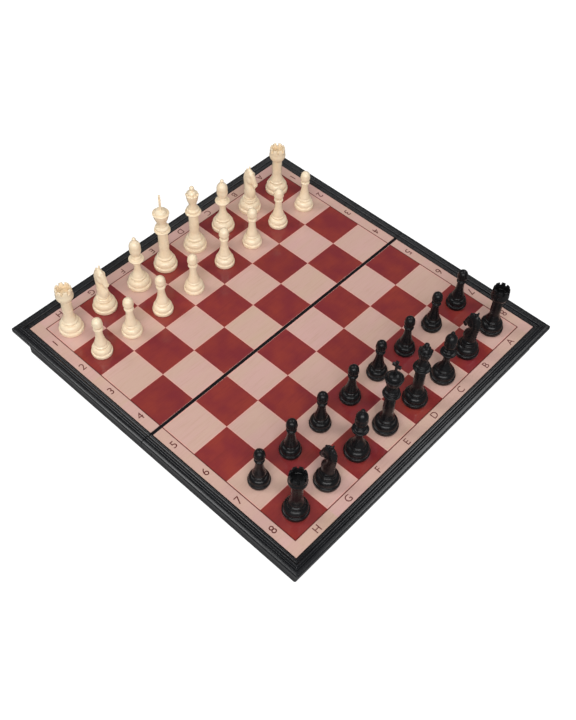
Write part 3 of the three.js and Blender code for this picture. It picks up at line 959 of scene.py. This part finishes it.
def hinge_rod(node):
    """The hinge pin: a drawn rod with chamfered ends, lying along X."""
    low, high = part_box(node)
    radius, length = (high.z - low.z) / 2 / MM, (high.x - low.x) / MM
    chamfer = 0.2
    outline = Outline(0, 0).line(radius - chamfer, 0).line(radius, chamfer).line(radius, length - chamfer)
    outline.line(radius - chamfer, length).line(0, length)
    lay_down = Matrix.Translation((low.x, 0, (low.z + high.z) / 2)) @ Matrix.Rotation(TURN / 4, 4, "Y")
    return moved(turned(outline), lay_down)


def build_board():
    foot_r, foot_h = 4.0, 2.15
    rubber = Outline(0, 0).line(foot_r - 0.5, 0).arc(foot_r - 0.1, 0.4, 0.2, 4)
    rubber = turned(rubber.line(foot_r - 0.02, foot_h - 0.4).line(foot_r - 0.02, foot_h).line(0, foot_h))
    disc = Outline(0, 0).line(2.75, 0).arc(2.98, 0.25, 0.2, 3).line(2.98, 2.75).arc(2.75, 2.98, 0.2, 3)
    disc = turned(disc.line(0, 2.98))
    for half in HALVES:
        body = f"{half}_half"
        frame_mesh, tray_mesh = ridged_frame(half), softened_tray(half)
        piece(f"{half}_ridged_frame", frame_mesh, BLACK_PLASTIC, body, "black_plastic", f"{half}_frame")
        piece(f"{half}_tray_shell", tray_mesh, BLACK_PLASTIC, body, "black_plastic", f"{half}_tray")
        feet = [f"{half}_foot_{number}" for number in (1, 2, 3, 4)]
        piece(f"{half}_rubber_feet", set_down(rubber, feet, 0.4), RUBBER, body, "rubber", *feet)
        magnets = [f"{half}_closing_magnet_{number}" for number in (1, 2)]
        piece(f"{half}_closing_discs", set_down(disc, magnets), NICKEL, body, "magnet", *magnets)
        piece(f"{half}_coordinates", coordinates(half), PRINT_INK, body, "printed_sheet")
        for node, finish in ((f"{half}_printed_sheet", PRINT), (f"{half}_steel_plate", STEEL)):
            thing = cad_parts[node]
            thing.data.materials.clear()
            thing.data.materials.append(finish)
    for end in ("a", "h"):
        node = f"hinge_pin_{end}"
        piece(f"{node}_rod", hinge_rod(node), WIRE, "front_half", "hinge_steel", node)


# ---------------------------------------------------------------- camera, floor and light
EYE = Vector((0.33537, 0.2931, 0.55755))
AIM = Vector((0.0199, 0.0222, SURFACE))
ROLL = math.radians(2.86)
LENS, SENSOR = 47.575, 36.0   # millimetres
STUDIO_GREY = (0.20, 0.202, 0.205, 1)
FLOOR_GLOW = 0.86             # the table's own white, which only the camera sees
BOARD_TOP = (0, 0, 0.03)
# each softbox's place, what it is turned to, its two sides and its power in watts
SOFTBOXES = {
    "overhead": ((0.35, 0.3, 1.3), (0, 0, 0), (1.0, 1.0), 1.0),
    "front": ((0.95, 0.8, 0.8), BOARD_TOP, (1.6, 0.5), 16.5),
    "left_strip": ((0.36, -0.58, 1.15), BOARD_TOP, (0.4, 0.8), 5.0),
    "right_strip": ((-0.66, 0.36, 1.15), BOARD_TOP, (0.8, 0.4), 4.2),
}


def set_camera():
    """The camera over the black h-side corner, looking down across the board, with a slight roll."""
    data = bpy.data.cameras.new("camera")
    data.lens = LENS
    data.sensor_width = SENSOR
    data.clip_start = 0.01
    camera = bpy.data.objects.new("camera", data)
    bpy.context.scene.collection.objects.link(camera)
    camera.rotation_mode = "QUATERNION"
    camera.location = EYE
    camera.rotation_quaternion = (AIM - EYE).to_track_quat("-Z", "Y") @ Quaternion((0, 0, 1), ROLL)
    bpy.context.scene.camera = camera


def softbox(name, place, aim, size, power):
    data = bpy.data.lights.new(name, "AREA")
    data.shape = "RECTANGLE"
    data.size, data.size_y = size
    data.energy = power
    light = bpy.data.objects.new(name, data)
    bpy.context.scene.collection.objects.link(light)
    light.location = place
    light.rotation_mode = "QUATERNION"
    light.rotation_quaternion = (Vector(aim) - Vector(place)).to_track_quat("-Z", "Y")


def light_studio():
    world = bpy.data.worlds.new("studio")
    bpy.context.scene.world = world
    world.use_nodes = True
    graph = Graph(world.node_tree)
    background = world.node_tree.nodes["Background"]
    seen = graph.add("ShaderNodeLightPath").outputs["Is Camera Ray"]
    graph.feed(background.inputs["Color"], graph.mix(seen, STUDIO_GREY, (1, 1, 1, 1)))
    background.inputs["Strength"].default_value = 1.0
    for name, settings in SOFTBOXES.items():
        softbox(name, *settings)
    bpy.context.scene.view_settings.view_transform = "Standard"


def lay_floor():
    """A plain pale table under the board, with a faint cloudiness of its own."""
    body = bmesh.new()
    bmesh.ops.create_grid(body, x_segments=2, y_segments=2, size=3.0)
    mesh = bpy.data.meshes.new("floor")
    body.to_mesh(mesh)
    body.free()
    made, graph, shader = material("pale_table")
    place = graph.add("ShaderNodeTexCoord").outputs["Object"]
    clouds = graph.noise(place, 6.0)
    graph.feed(shader.inputs["Base Color"], graph.mix(clouds, (0.30, 0.30, 0.30, 1), (0.32, 0.32, 0.32, 1)))
    shader.inputs["Roughness"].default_value = 0.9
    shader.inputs["Specular IOR Level"].default_value = 0.1
    shader.inputs["Emission Color"].default_value = (1, 1, 1, 1)
    seen = graph.add("ShaderNodeLightPath").outputs["Is Camera Ray"]
    graph.feed(shader.inputs["Emission Strength"], graph.math("MULTIPLY", seen, FLOOR_GLOW))
    mesh.materials.append(made)
    floor = bpy.data.objects.new("floor", mesh)
    bpy.context.scene.collection.objects.link(floor)


set_camera()
light_studio()
lay_floor()
build_board()
set_out_pieces()
